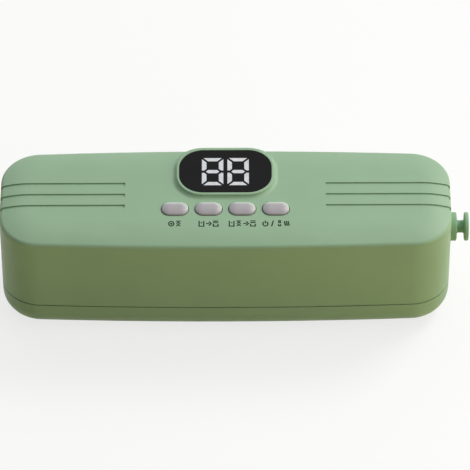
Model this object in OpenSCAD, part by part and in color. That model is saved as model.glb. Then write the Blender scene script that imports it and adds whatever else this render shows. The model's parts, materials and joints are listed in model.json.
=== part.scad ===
// Handheld mini vacuum bag sealer, a clamshell that opens at its rear hinge.
// Millimetres. X runs along the length, the front is at -Y, Z is up.
// The origin is under the centre of the foot pad, on the table.

/* [Body] */
// Length of the moulded body, without the lanyard post
body_w = 169; // [163:1:190]
// Depth of the body at mid length
body_d = 51.4; // [50:0.2:58]
// Height of the top face above the underside of the jaw
body_h = 47; // [46.5:0.5:54]
// Plan radius of the four upright corners
corner_r = 15; // [13:0.1:16]
// How far the long sides bow outwards over the length
side_bow = 2.15; // [1.2:0.05:2.8]
// Thickness of the moulded walls
wall = 2.2; // [1.8:0.1:2.4]
// How far the soft top edge reaches in from the side
edge_reach = 11.22; // [9.5:0.01:12.5]
// Radius of the tight part of the soft top edge
edge_nose_r = 1.7; // [1.2:0.1:2.2]
// Radius of the wide part of the soft top edge
crown_r = 35.7; // [30:0.1:48]
// Clearance between a moulded seat and the piece that sits in it
fit = 0.15; // [0.1:0.01:0.2]

/* [Jaw] */
// Height of the parting plane above the underside of the jaw
jaw_h = 12.9; // [12.2:0.1:13.8]
// Radius of the lower edge of the jaw
jaw_edge_r = 8.5; // [7:0.1:9]
// Open line between jaw and housing when shut
part_gap = 0.5; // [0.3:0.05:0.8]
// How far deck and chassis plate lie back from the parting plane
plate_back = 1.5; // [1.2:0.1:1.8]
// Thickness of the deck plate in the jaw
deck_t = 2.5; // [2.3:0.1:3]
// Thickness of the chassis plate in the housing
chassis_t = 2.5; // [2.3:0.1:3]

/* [Foot pad] */
// Distance of the ends of the rubber pad from the ends of the body
pad_side = 20.5; // [16.5:0.5:34.5]
// Depth of the rubber pad
pad_d = 29; // [22:0.5:30]
// Thickness of the rubber pad
pad_t = 1.4; // [1.2:0.1:1.8]
// How far the pad stands out under the jaw
pad_proud = 0.6; // [0.4:0.1:0.8]

/* [Seal] */
// Distance of the ends of the bag trough from the ends of the body
trough_side = 15.5; // [14.5:0.5:24.5]
// Depth of the bag trough, front to back
trough_d = 20; // [16:0.5:22]
// How deep the bag trough is below the deck
trough_deep = 5; // [4.4:0.1:5.6]
// Corner radius of the bag trough
trough_r = 4; // [3:0.5:6]
// Wall of the tub under the trough
tub_wall = 1.5; // [1.2:0.1:1.8]
// Depth of the recess over the trough in the chassis plate
recess_deep = 1; // [0.8:0.1:1.2]
// Land between trough and gasket
gasket_land = 1; // [0.8:0.1:1.5]
// Width of each gasket
gasket_b = 3; // [2:0.1:3.2]
// How deep each gasket sits in its groove
gasket_sunk = 1; // [0.8:0.1:1.2]
// Distance of the ends of the sealing line from the ends of the body
strip_side = 14.5; // [13.5:0.5:24.5]
// Width of the silicone press strip
strip_d = 5; // [4:0.1:5.4]
// Distance of the sealing line from the front face
strip_back = 9.7; // [9.4:0.1:10.5]
// Land between the sealing line and the gaskets
strip_land = 2; // [1.6:0.1:3]
// Distance between the shut seals, the room of a bag film
seal_gap = 0.3; // [0.25:0.01:0.4]
// Width of the band that heats
band_d = 2.6; // [2:0.1:3]
// Thickness of the band and of the cover tape, each
film_t = 0.15; // [0.1:0.01:0.2]

/* [Hinge] */
// Distance of each hinge from mid length
hinge_x = 48; // [40:1:54]
// Length of each hinge
hinge_len = 24; // [18:1:28]
// Radius of the hinge barrels
barrel_r = 2.6; // [2.3:0.1:3]
// Radius of the hinge pins
pin_r = 1; // [0.8:0.05:1.2]
// Running clearance of the hinge pins
pin_play = 0.05; // [0.03:0.01:0.08]
// Sideways clearance between the barrels
barrel_gap = 0.3; // [0.2:0.05:0.5]
// How far the hinge arms run along the wall
arm_len = 5; // [4:0.1:6]

/* [Display] */
// Length of the black display window
lens_w = 34.6; // [33:0.1:38]
// Depth of the black display window
lens_d = 22.3; // [21.6:0.1:23]
// Corner radius of the window
lens_r = 9; // [6:0.1:10]
// Thickness of the window
lens_t = 1.6; // [1.4:0.05:1.8]
// How far the window lies below the rim
lens_sunk = 0.25; // [0.1:0.05:0.4]
// Width of the rim round the window
rim_b = 1.05; // [0.9:0.05:1.3]
// Height of the raised rim above the top face
rim_h = 1.5; // [1.3:0.1:2]
// How far the blend at the foot of the rim reaches out
rim_blend = 1.6; // [1:0.1:1.6]
// Rounding of the upper edge of the rim
rim_edge_r = 0.45; // [0.3:0.05:0.45]
// Place of the display behind mid depth
display_y = 11.3; // [10.8:0.1:11.6]
// Height of a digit
digit_h = 14.4; // [13:0.1:15]
// Width of a digit
digit_w = 8.1; // [7:0.1:8.6]
// Distance between the digits, middle to middle
digit_pitch = 9.6; // [9:0.1:10.4]
// Width of a digit segment
segment_b = 1.75; // [1.4:0.05:2]
// Length of the digit module
module_w = 25; // [22:0.5:27]
// Depth of the digit module
module_d = 19; // [16:0.5:19.4]

/* [Keys] */
// Length of a key cap
key_w = 10; // [9:0.1:10.8]
// Depth of a key cap
key_d = 6.5; // [5.6:0.1:7.2]
// Corner radius of a key cap
key_r = 3.05; // [2.2:0.05:3.2]
// Distance between the keys, middle to middle
key_pitch = 12.56; // [12.4:0.02:13.6]
// Place of the key row from mid depth
key_y = -7.2; // [-8.6:0.1:-7]
// How far a key stands out of the top face
key_proud = 1; // [0.8:0.1:1.4]
// Rounding of the upper edge of a key
key_edge_r = 0.8; // [0.5:0.05:0.8]
// Clearance round a key
key_play = 0.3; // [0.25:0.01:0.35]
// Width of the flange that keeps a key in
key_lip = 0.75; // [0.65:0.05:0.8]
// Thickness of that flange
key_lip_t = 1; // [0.8:0.1:1.2]
// Travel of a key
key_travel = 0.6; // [0.4:0.05:0.7]

/* [Grooves] */
// Grooves on each side of the keys
groove_count = 3; // [1:1:3]
// Place of the middle groove from mid depth
groove_y = 0.65; // [-1:0.05:2]
// Distance between the grooves
groove_pitch = 5.75; // [4.5:0.05:6]
// Width of a groove
groove_b = 0.7; // [0.5:0.05:1]
// Depth of a groove
groove_deep = 0.7; // [0.4:0.05:0.9]
// Distance of the inner ends from mid length
groove_in = 37.6; // [34:0.1:50]
// How far the grooves run down the end walls
groove_down = 10.5; // [7:0.1:11]

/* [Lanyard post] */
// Radius of the two discs
post_r = 5.4; // [5:0.1:6]
// Radius of the neck
post_neck_r = 2.35; // [2:0.05:2.8]
// Thickness of the disc on the wall
post_base_t = 2.6; // [1.8:0.1:2.8]
// Length of the neck
post_neck_len = 2.9; // [2:0.1:3.6]
// Thickness of the outer disc
post_cap_t = 1.6; // [1.4:0.1:2.4]
// Height of the post above the table
post_z = 30.5; // [27:0.5:31]

/* [Inside] */
// Radius of a battery cell
cell_r = 9.2; // [8.8:0.05:9.3]
// Length of a battery cell
cell_len = 65; // [60:0.5:66]
// Wall of the cell cradle
cradle_wall = 1.2; // [1:0.1:1.4]
// Floor of the cell cradle
cradle_floor = 0.8; // [0.6:0.1:1]
// Radius of the pump motor
motor_r = 10.2; // [9:0.1:11]
// Length of the pump motor
motor_len = 25; // [20:0.5:26]
// Length of the pump head
head_len = 15; // [12:0.5:16]
// Height and depth of the pump head
head_d = 18; // [15:0.5:19]
// Inner radius of the suction tube
tube_r = 1.9; // [1.6:0.05:2.1]
// Wall of the suction tube
tube_wall = 0.9; // [0.7:0.05:1.1]
// Bend radius of the suction tube
tube_bend = 5; // [4:0.1:5.5]
// Thickness of the control board
board_t = 1.6; // [1.2:0.1:1.8]
// Margin of the control board beyond the key row
board_rim = 7; // [6.6:0.1:7.6]
// Radius of the screw posts in the corners
post_boss_r = 3; // [2.8:0.1:3.2]
// Length of the screw posts in the housing
post_boss_h = 10; // [8:0.5:14]
// Distance of the corner screws from the inner face of the wall
screw_in = 2.7; // [2.6:0.05:2.75]
// Length of a magnet bar
magnet_w = 12; // [8:0.5:16]
// Depth and thickness of a magnet bar
magnet_d = 2; // [1.6:0.1:2]
// Distance of each magnet from mid length
magnet_x = 42; // [30:1:54]

/* [Hidden] */
$fn = 96;
// Facets per turn of the slightly bowed long sides
bow_fn = 1200;
// Small overlap that joins and cuts use
lap = 0.5;
// Smaller overlap where a wall is too thin for that
join = 0.1;

// Plan of bowed sides with tangent corners. The bow's radius and angle are rounded so that the
// arcs meet cleanly, and the corners follow them.
half_d = body_d / 2;
bow_r = round((body_w * body_w / 4 + side_bow * side_bow) / (2 * side_bow));
bow_a = round(asin((body_w / 2 - corner_r) / (bow_r - corner_r)) * 1000) / 1000;
corner_x = (bow_r - corner_r) * sin(bow_a);
corner_y = half_d - bow_r + (bow_r - corner_r) * cos(bow_a);
half_w = corner_x + corner_r;
// How far a section that runs round the plan reaches in, short of the corners' axes
band = corner_r - 2 * join;
// Hair's breadth by which the corners lap over the bowed sides
seam_a = 0.000001;
// How far a long side has drawn in at a place along the length
function drawn_in(x) = bow_r - sqrt(bow_r * bow_r - x * x);

// Levels
z_floor = pad_proud;
z_part = z_floor + jaw_h;
z_top = z_floor + body_h;
z_roof = z_top - wall;
z_rim_low = z_part - part_gap / 2;
z_rim_up = z_part + part_gap / 2;
z_deck = z_part - plate_back;
z_deck_low = z_deck - deck_t;
z_chassis = z_part + plate_back;
z_bay = z_chassis + chassis_t;
z_seal_low = z_part - seal_gap / 2;
z_seal_up = z_part + seal_gap / 2;

// Soft top edge: a tight nose arc that runs into a wide crown arc
edge_drop = crown_r - sqrt(pow(crown_r - edge_nose_r, 2) - pow(edge_reach - edge_nose_r, 2));
nose_c = [-edge_nose_r, z_top - edge_drop];
crown_c = [-edge_reach, z_top - crown_r];
blend_a = atan2(crown_r - edge_drop, edge_reach - edge_nose_r);

// Seal line, trough and gasket ring, from the front backwards
strip_y = strip_back - half_d;
trough_y = strip_y + strip_d / 2 + strip_land + gasket_b + gasket_land + trough_d / 2;
trough_w = body_w - 2 * trough_side;
strip_w = body_w - 2 * strip_side;
pad_w = body_w - 2 * pad_side;
ring_w = trough_w + 2 * (gasket_land + gasket_b);
ring_d = trough_d + 2 * (gasket_land + gasket_b);
ring_r = trough_r + gasket_land + gasket_b;
heater_over = 0.5;
heater_d = strip_d + 2 * heater_over;
heater_sunk = 1.2;
// Level of the heater bar's face, over the band and its tape
z_heater = z_seal_up + 2 * film_t;
strip_sunk = 1.2;

// Hinge axis behind the rear wall, on the parting plane
hinge_back = 0.2;
hinge_y = half_d + barrel_r + hinge_back;
jaw_barrel = hinge_len / 2;
side_barrel = (hinge_len - jaw_barrel) / 2 - barrel_gap;
arm_y = half_d - 0.75 * wall;
// Angle on the barrel at which the arm leaves it
arm_a = 50;
pin_end = 0.5;

// Screws
screw_r = 1;
screw_play = 0.05;
screw_head_r = 2;
screw_head_t = 1.3;
screw_len = 5.5;
// Cross recess in a screw's head: bar width, reach and depth as shares of the head
drive_b = 0.28;
drive_reach = 0.68;
drive_deep = 0.55;
boss_off = (corner_r - wall - screw_in) / sqrt(2);
boss_x = corner_x + boss_off;
boss_y = corner_y + boss_off;

// Lowest level at which a jaw boss keeps a skin of the soft lower edge in front of it
boss_skin = 0.6;
boss_in = wall + screw_in - post_boss_r - boss_skin;
z_boss = z_floor + jaw_edge_r - sqrt(2 * jaw_edge_r * boss_in - boss_in * boss_in);

// Display stack
rim_w = lens_w + 2 * (rim_b + fit);
rim_d = lens_d + 2 * (rim_b + fit);
rim_r = lens_r + rim_b + fit;
// Hollow blend at the foot of the rim, tangent to the top face
rim_blend_h = rim_h - rim_edge_r - 2 * join;
rim_blend_r = (rim_blend * rim_blend + rim_blend_h * rim_blend_h) / (2 * rim_blend_h);
z_foot = z_roof + join;
z_lens_top = z_top + rim_h - lens_sunk;
z_lens = z_lens_top - lens_t;
module_play = 0.4;
segment_gap = 0.6;
segment_play = 0.03;

// Key stack, from the top face down to the board
z_key_top = z_top + key_proud;
lip_play = 0.1;
stem_drop = 0.7;
z_lip = z_roof - lip_play;
z_stem = z_lip - key_lip_t - stem_drop;
stem_r = 1.5;
plunger_r = 1.7;
plunger_in = 1;
plunger_play = 0.3;
switch_rise = 0.9;
switch_w = 6;
switch_h = 3;
z_switch = z_stem - switch_rise;
z_board_top = z_switch - switch_h;
z_board = z_board_top - board_t;

// Control board
board_w = 3 * key_pitch + key_w + 2 * board_rim;
board_apron = 6.1;
board_behind = 0.8;
board_front = key_y - key_d / 2 - board_apron;
board_rear = display_y + module_d / 2 + board_behind;
board_in = 2.6;
board_boss_r = 2.2;
board_screw_r = 0.9;
board_screw_bite = 3.5;
board_screw_head_r = 1.7;
board_screw_head_t = 1;
board_hole_x = board_w / 2 - board_in;
board_holes = [[-board_hole_x, board_front + board_in], [board_hole_x, board_front + board_in],
    [-board_hole_x, board_rear - board_in], [board_hole_x, board_rear - board_in]];

// Battery cells, from the left screw posts inwards
cell_gap = 0.3;
cell_y = cell_r + cell_gap / 2 + fit;
link_t = 0.3;
cradle_side = 1;
cell_x0 = -boss_x + post_boss_r + cradle_side + cradle_wall + link_t + fit;
cell_x1 = cell_x0 + cell_len;
cell_z = z_bay + cradle_floor + cell_r + fit;
cradle_h = 9;
cradle_notch = 3;
link_tab = 7;

// Pump, from the right screw posts inwards, in line with the trough
pump_y = trough_y;
motor_side = 0.8;
motor_x1 = boss_x - post_boss_r - motor_side;
motor_x0 = motor_x1 - motor_len;
head_x0 = motor_x0 - head_len;
saddle_floor = 1.5;
saddle_wall = 1;
saddle_end = 2;
saddle_low = 3;
pump_z = z_bay + saddle_floor + motor_r;
head_z = z_bay + saddle_floor + head_d / 2;
inlet_len = 4;
inlet_deep = 4;
tube_start = 1;
nozzle_x = head_x0 - inlet_len - tube_bend - tube_start;
nozzle_flange_r = 3.4;
nozzle_flange_t = 1;
nozzle_rise = 3.5;
nozzle_bore_r = 1.1;

// Charging socket in the rear wall
usb_w = 8.94;
usb_h = 3.26;
usb_len = 7.3;
usb_shell_t = 0.3;
usb_back_t = 1.2;
usb_play = 0.35;
usb_sunk = 0.5;
usb_tongue = [6.7, 4.6, 0.7];
usb_side = 8.6;
usb_x = cell_x1 + cradle_wall + link_t + usb_side;
usb_y1 = half_d - drawn_in(usb_x) - usb_sunk;
charge_w = 13;
charge_d = 15;
charge_t = 1.2;
charge_rise = 7;
charge_z = z_bay + charge_rise;
charge_front = 2.6;
charge_post_r = 2;

// Lanyard post
post_wall_x = half_w;
post_len = post_base_t + post_neck_len + post_cap_t;
post_edge_r = 0.5;
post_blend = 0.8;
post_bore = post_base_t + post_neck_len;
post_screw_end = 0.3;

// Colours
sage = [0.60, 0.72, 0.60];
black = [0.12, 0.12, 0.12];
key_grey = [0.70, 0.69, 0.71];
steel = [0.75, 0.76, 0.78];
silicone = [0.86, 0.88, 0.87];
board_green = [0.11, 0.35, 0.22];
white = [0.94, 0.95, 0.95];

// Rectangle with round corners, about the origin
module round_rect(w, d, r) {
    square([w - 2 * r, d], center = true);
    square([w, d - 2 * r], center = true);
    for (x = [-1, 1], y = [-1, 1])
        translate([x * (w / 2 - r), y * (d / 2 - r)])
            circle(r);
}

// Plate with round corners from one level to another
module round_plate(w, d, r, z0, z1) {
    translate([0, 0, z0])
        linear_extrude(z1 - z0)
            round_rect(w, d, r);
}

// Flat ring with round corners from one level to another
module round_ring(w, d, r, b, z0, z1) {
    translate([0, 0, z0])
        linear_extrude(z1 - z0)
            difference() {
                round_rect(w, d, r);
                round_rect(w - 2 * b, d - 2 * b, r - b);
            }
}

// Runs a section round a rectangle with round corners. The section's outer edge is at x = 0, it reaches in
// to a small overlap short of the corners' axes, and the middle is left open.
module round_sweep(w, d, r) {
    for (turn = [0, 180]) {
        rotate([0, 0, turn + 90])
            translate([d / 2, 0, 0])
                rotate([90, 0, 0])
                    linear_extrude(w - 2 * r, center = true)
                        children();
        rotate([0, 0, turn])
            translate([w / 2, 0, 0])
                rotate([90, 0, 0])
                    linear_extrude(d - 2 * r, center = true)
                        children();
    }
    for (flip_x = [0, 1], flip_y = [0, 1])
        mirror([flip_x, 0, 0])
            mirror([0, flip_y, 0])
                translate([w / 2 - r, d / 2 - r, 0])
                    rotate_extrude(angle = 90)
                        translate([r, 0])
                            children();
}

// Block that closes the open middle of such a run
module round_middle(w, d, r, z0, z1) {
    in = r - 2 * lap;
    translate([0, 0, (z0 + z1) / 2])
        cube([w - 2 * in, d - 2 * in, z1 - z0], center = true);
}

// Moves by whole millimetres and then by the rest, which keeps the seams between swept runs closed
module place(p) {
    whole = [round(p[0]), round(p[1])];
    translate(whole)
        translate(p - whole)
            children();
}

// Copies mirrored into the four quarters of the plan
module quarters() {
    for (flip_x = [0, 1], flip_y = [0, 1])
        mirror([flip_x, 0, 0])
            mirror([0, flip_y, 0])
                children();
}

// Runs a section round the plan of the body, drawn in by an inset. The section's outer edge is at x = 0,
// and the middle is left open.
module body_sweep(inset = 0) {
    quarters() {
        place([0, half_d - bow_r])
            rotate([0, 0, 90])
                rotate_extrude(angle = bow_a, $fn = bow_fn)
                    translate([bow_r, 0])
                        translate([-inset, 0])
                            children();
        place([corner_x, corner_y]) {
            rotate_extrude(angle = 90 - bow_a + seam_a)
                translate([corner_r - inset, 0])
                    children();
            rotate([90, 0, 0])
                linear_extrude(corner_y + lap)
                    translate([corner_r - inset, 0])
                        children();
        }
    }
}

// Plate that closes the open middle of such a run
module body_middle(z0, z1) {
    translate([0, 0, (z0 + z1) / 2])
        cube([2 * (half_w - band + join), 2 * (half_d - band + join), z1 - z0], center = true);
}

// Flat plate of the body's plan, drawn in by an inset
module body_plate(inset, z0, z1) {
    body_sweep(inset)
        translate([inset - band, z0])
            square([band - inset, z1 - z0]);
    body_middle(z0, z1);
}

// Section under the soft top edge, moved in by a depth
module soft_top(depth, z0, reach) {
    if (depth < edge_nose_r)
        nosed_top(depth, z0, reach);
    else
        cornered_top(depth, z0, reach);
}

// Such a section with the crown arc running into the nose arc
module nosed_top(depth, z0, reach) {
    ray = [cos(blend_a), sin(blend_a)];
    low = crown_c + (crown_r - 3 * edge_drop) * ray;
    translate([-reach, z0])
        square([reach - depth, z_top - edge_drop - z0]);
    translate(nose_c)
        circle(edge_nose_r - depth);
    intersection() {
        translate(crown_c)
            circle(crown_r - depth, $fn = 480);
        polygon([low, low + crown_r * ray, [-reach, z_top + crown_r], [-reach, low[1]]]);
    }
    translate([-reach, z_top - edge_drop])
        square([reach - edge_reach, edge_drop - depth]);
}

// Such a section deeper than the nose, where the crown arc meets the wall in a corner
module cornered_top(depth, z0, reach) {
    difference() {
        translate([-reach, z0])
            square([reach - depth, z_top - depth - z0]);
        difference() {
            translate(crown_c)
                square([edge_reach, crown_r]);
            translate(crown_c)
                circle(crown_r - depth, $fn = 480);
        }
    }
}

// Section of the jaw's wall and floor, moved in by a depth
module jaw_side(depth, z1, reach) {
    z_arc = z_floor + jaw_edge_r;
    translate([-reach, z_arc])
        square([reach - depth, z1 - z_arc]);
    intersection() {
        translate([-jaw_edge_r, z_arc])
            circle(jaw_edge_r - depth);
        translate([-jaw_edge_r, z_floor])
            square(jaw_edge_r);
    }
    translate([-reach, z_floor + depth])
        square([reach - jaw_edge_r, jaw_edge_r - depth]);
}

// Copies at the four screw places in the corners
module at_bosses() {
    for (x = [-1, 1], y = [-1, 1])
        translate([x * boss_x, y * boss_y, 0])
            children();
}

// Copies at the two hinges
module at_hinges() {
    for (side = [-1, 1])
        translate([side * hinge_x, hinge_y, z_part])
            children();
}

// Piece along X with its section drawn in Y and Z, about the middle
module along_x(len) {
    rotate([90, 0, 90])
        linear_extrude(len, center = true)
            children();
}

// Screw with its head under z = 0, a cross recess in it, and its shank upwards
module screw(shank_r, len, head_r, head_t) {
    difference() {
        translate([0, 0, -head_t])
            cylinder(h = head_t, r = head_r);
        for (turn = [0, 90])
            rotate([0, 0, turn])
                translate([0, 0, -head_t])
                    cube([2 * drive_reach * head_r, drive_b * head_r, 2 * drive_deep * head_t],
                        center = true);
    }
    cylinder(h = len, r = shank_r);
}

// Barrel and arm of a hinge, the arm going up or down the wall
module hinge_arm(up) {
    reach = arm_y - hinge_y;
    circle(barrel_r, $fn = 48);
    z_low = up * (part_gap / 2 + join);
    polygon([[reach, z_low], [0, z_low], [barrel_r * cos(arm_a), up * barrel_r * sin(arm_a)],
        [reach, up * (barrel_r + arm_len / 2)]]);
}

module pin_bore() {
    rotate([0, 90, 0])
        cylinder(h = hinge_len + 2 * lap, r = pin_r + pin_play, center = true, $fn = 48);
}

module lower_jaw() {
    color(sage)
    difference() {
        union() {
            body_sweep()
                difference() {
                    jaw_side(0, z_rim_low, band);
                    jaw_side(wall, z_rim_low + lap, band + join);
                }
            body_middle(z_floor, z_floor + wall);
            at_bosses()
                translate([0, 0, z_boss])
                    cylinder(h = z_deck_low - z_boss, r = post_boss_r);
            at_hinges()
                along_x(jaw_barrel)
                    hinge_arm(-1);
        }
        at_hinges()
            pin_bore();
        at_bosses()
            translate([0, 0, z_deck_low - screw_len])
                cylinder(h = screw_len + lap, r = screw_r + screw_play);
        round_plate(pad_w + 2 * fit, pad_d + 2 * fit, pad_d / 4 + fit, -lap, pad_t);
    }
}

module jaw_deck() {
    ring_z = z_deck - gasket_sunk;
    color([0.30, 0.33, 0.31])
    difference() {
        body_plate(wall + fit, z_deck_low, z_deck);
        translate([0, trough_y, 0]) {
            round_plate(trough_w, trough_d, trough_r, z_deck_low - lap, z_deck + lap);
            round_ring(ring_w, ring_d, ring_r, gasket_b, ring_z, z_deck + lap);
        }
        translate([0, strip_y, z_deck])
            cube([strip_w + 2 * fit, strip_d + 2 * fit, 2 * strip_sunk], center = true);
        magnet_row(fit, z_deck - magnet_d, z_deck + lap);
        at_bosses() {
            translate([0, 0, z_deck_low - lap])
                cylinder(h = deck_t + 2 * lap, r = screw_r + 2 * screw_play);
            translate([0, 0, z_deck - screw_head_t])
                cylinder(h = screw_head_t + lap, r = screw_head_r + fit);
        }
    }
}

// Tub under the deck's window, bonded to its underside
module trough_tub() {
    z_tub = z_deck - trough_deep;
    color([0.30, 0.33, 0.31])
    translate([0, trough_y, 0])
        difference() {
            round_plate(trough_w + 2 * tub_wall, trough_d + 2 * tub_wall, trough_r + tub_wall, z_tub - tub_wall,
                z_deck_low);
            round_plate(trough_w, trough_d, trough_r, z_tub, z_deck_low + lap);
        }
}

// Row of magnets behind the front wall, grown by a clearance
module magnet_row(grow, z0, z1) {
    magnet_y = -(half_d - drawn_in(magnet_x + magnet_w / 2) - wall - 4 * fit - magnet_d / 2);
    for (side = [-1, 1])
        translate([side * magnet_x, magnet_y, (z0 + z1) / 2])
            cube([magnet_w + 2 * grow, magnet_d + 2 * grow, z1 - z0], center = true);
}

module deck_screws() {
    color(steel)
    at_bosses()
        translate([0, 0, z_deck - screw_head_t])
            mirror([0, 0, 1])
                screw(screw_r, screw_len, screw_head_r, screw_head_t);
}

module jaw_gasket() {
    color(silicone)
    translate([0, trough_y, 0])
        round_ring(ring_w - 2 * fit, ring_d - 2 * fit, ring_r - fit, gasket_b - 2 * fit,
            z_deck - gasket_sunk, z_seal_low);
}

module press_strip() {
    color([0.72, 0.26, 0.20])
    translate([0, strip_y, (z_deck - strip_sunk + z_seal_low) / 2])
        cube([strip_w, strip_d, z_seal_low - z_deck + strip_sunk], center = true);
}

module foot_pad() {
    color(black)
    round_plate(pad_w, pad_d, pad_d / 4, 0, pad_t);
}

module jaw_magnets() {
    color(steel)
    magnet_row(0, z_deck - magnet_d, z_deck);
}

module hinge_pins() {
    color(steel)
    at_hinges()
        rotate([0, 90, 0])
            cylinder(h = hinge_len - 2 * pin_end, r = pin_r, center = true, $fn = 48);
}

// Raised rim of the display with its blend into the top face
module rim_section() {
    z_rim = z_top + rim_h;
    reach = rim_r - lap;
    translate([-reach, z_foot])
        square([reach, z_rim - rim_edge_r - z_foot]);
    translate([-reach, z_foot])
        square([reach - rim_edge_r, z_rim - z_foot]);
    translate([-rim_edge_r, z_rim - rim_edge_r])
        circle(rim_edge_r, $fn = 32);
    translate([0, z_foot])
        square([rim_blend, z_top - z_foot]);
    difference() {
        translate([0, z_top - lap])
            square([rim_blend, rim_blend_h + lap]);
        translate([rim_blend, z_top + rim_blend_r])
            circle(rim_blend_r);
    }
}

// Grooves over the top and down both end walls
module groove_cuts() {
    span = half_w - groove_in;
    for (side = [0, 1], i = [0 : groove_count - 1])
        mirror([side, 0, 0])
            translate([half_w, groove_y + (i - (groove_count - 1) / 2) * groove_pitch, 0])
                rotate([90, 0, 0])
                    linear_extrude(groove_b, center = true)
                        difference() {
                            translate([-span, z_top - groove_down])
                                square([span + 1, groove_down + 1]);
                            soft_top(groove_deep, z_top - groove_down - 1, half_w);
                        }
}

// Outline of the charging socket
module usb_outline(grow) {
    r = usb_h / 2 + grow;
    square([usb_w - usb_h, 2 * r], center = true);
    for (side = [-1, 1])
        translate([side * (usb_w - usb_h) / 2, 0])
            circle(r, $fn = 48);
}

// Piece of the socket's outline from one depth to another
module usb_piece(grow, y0, y1) {
    translate([usb_x, y1, charge_z + charge_t + usb_h / 2])
        rotate([90, 0, 0])
            linear_extrude(y1 - y0)
                usb_outline(grow);
}

module upper_housing() {
    color(sage)
    difference() {
        union() {
            body_sweep()
                difference() {
                    soft_top(0, z_rim_up, band);
                    soft_top(wall, z_rim_up - lap, band + join);
                }
            body_middle(z_roof, z_top);
            translate([0, display_y, 0]) {
                round_sweep(rim_w, rim_d, rim_r)
                    rim_section();
                round_middle(rim_w, rim_d, rim_r, z_foot, z_top + rim_h);
            }
            at_bosses()
                translate([0, 0, z_bay])
                    cylinder(h = post_boss_h, r = post_boss_r);
            for (p = board_holes)
                translate([p[0], p[1], z_board_top])
                    cylinder(h = z_roof + 2 * join - z_board_top, r = board_boss_r);
            at_hinges()
                for (side = [-1, 1])
                    translate([side * (hinge_len - side_barrel) / 2, 0, 0])
                        along_x(side_barrel)
                            hinge_arm(1);
        }
        at_hinges()
            pin_bore();
        at_bosses()
            translate([0, 0, z_bay - lap])
                cylinder(h = screw_len + lap, r = screw_r + screw_play);
        for (p = board_holes)
            translate([p[0], p[1], z_board_top - lap])
                cylinder(h = board_screw_bite + 2 * lap, r = board_screw_r + screw_play);
        translate([0, display_y, 0]) {
            round_plate(lens_w + 2 * fit, lens_d + 2 * fit, lens_r + fit, z_lens, z_top + rim_h + lap);
            translate([0, 0, (z_lens + z_roof) / 2])
                cube([module_w + 2 * module_play, module_d + 2 * module_play, z_lens - z_roof + 6 * lap],
                    center = true);
        }
        for (i = [0 : 3])
            translate([(i - 1.5) * key_pitch, key_y, 0])
                round_plate(key_w + 2 * key_play, key_d + 2 * key_play, key_r + key_play, z_roof - lap,
                    z_top + lap);
        groove_cuts();
        usb_piece(usb_play, half_d - 2 * wall, half_d + lap);
        translate([half_w, 0, post_z])
            rotate([0, 90, 0])
                cylinder(h = 4 * wall, r = screw_r + 2 * screw_play, center = true);
    }
}

module chassis_plate() {
    color([0.30, 0.33, 0.31])
    difference() {
        union() {
            body_plate(wall + fit, z_chassis, z_bay);
            for (side = [-1, 1])
                translate([usb_x + side * (charge_w / 2 - charge_post_r), usb_y1 - usb_len - charge_post_r,
                    z_bay - lap])
                    cylinder(h = charge_z - z_bay + lap, r = charge_post_r);
        }
        translate([0, trough_y, 0]) {
            round_plate(trough_w, trough_d, trough_r, z_chassis - lap, z_chassis + recess_deep);
            round_ring(ring_w, ring_d, ring_r, gasket_b, z_chassis - lap, z_chassis + gasket_sunk);
        }
        translate([0, strip_y, z_chassis])
            cube([strip_w + 2 * fit, heater_d + 2 * fit, 2 * heater_sunk], center = true);
        magnet_row(fit, z_chassis - lap, z_chassis + magnet_d);
        translate([nozzle_x, trough_y, z_chassis - lap])
            cylinder(h = chassis_t + 2 * lap, r = tube_r + fit);
        at_bosses() {
            translate([0, 0, z_chassis - lap])
                cylinder(h = chassis_t + 2 * lap, r = screw_r + 2 * screw_play);
            translate([0, 0, z_chassis - lap])
                cylinder(h = screw_head_t + lap, r = screw_head_r + fit);
        }
    }
}

module chassis_screws() {
    color(steel)
    at_bosses()
        translate([0, 0, z_chassis + screw_head_t])
            screw(screw_r, screw_len, screw_head_r, screw_head_t);
}

module housing_gasket() {
    color(silicone)
    translate([0, trough_y, 0])
        round_ring(ring_w - 2 * fit, ring_d - 2 * fit, ring_r - fit, gasket_b - 2 * fit, z_seal_up,
            z_chassis + gasket_sunk);
}

module heater_bar() {
    color([0.80, 0.74, 0.58])
    translate([0, strip_y, (z_heater + z_chassis + heater_sunk) / 2])
        cube([strip_w, heater_d, z_chassis + heater_sunk - z_heater], center = true);
}

module heating_band() {
    color(steel)
    translate([0, strip_y, z_heater - film_t / 2])
        cube([strip_w, band_d, film_t], center = true);
}

module heater_tape() {
    color([0.55, 0.36, 0.20])
    translate([0, strip_y, z_seal_up + film_t / 2])
        cube([strip_w, heater_d, film_t], center = true);
}

module housing_magnets() {
    color(steel)
    magnet_row(0, z_chassis, z_chassis + magnet_d);
}

module suction_nozzle() {
    color(white)
    translate([nozzle_x, trough_y, 0])
        difference() {
            union() {
                translate([0, 0, z_chassis + recess_deep])
                    cylinder(h = z_bay - z_chassis - recess_deep + nozzle_flange_t + nozzle_rise,
                        r = tube_r - fit / 3);
                translate([0, 0, z_bay])
                    cylinder(h = nozzle_flange_t, r = nozzle_flange_r);
            }
            translate([0, 0, z_chassis])
                cylinder(h = chassis_t + nozzle_flange_t + nozzle_rise + lap, r = nozzle_bore_r);
        }
}

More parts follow.
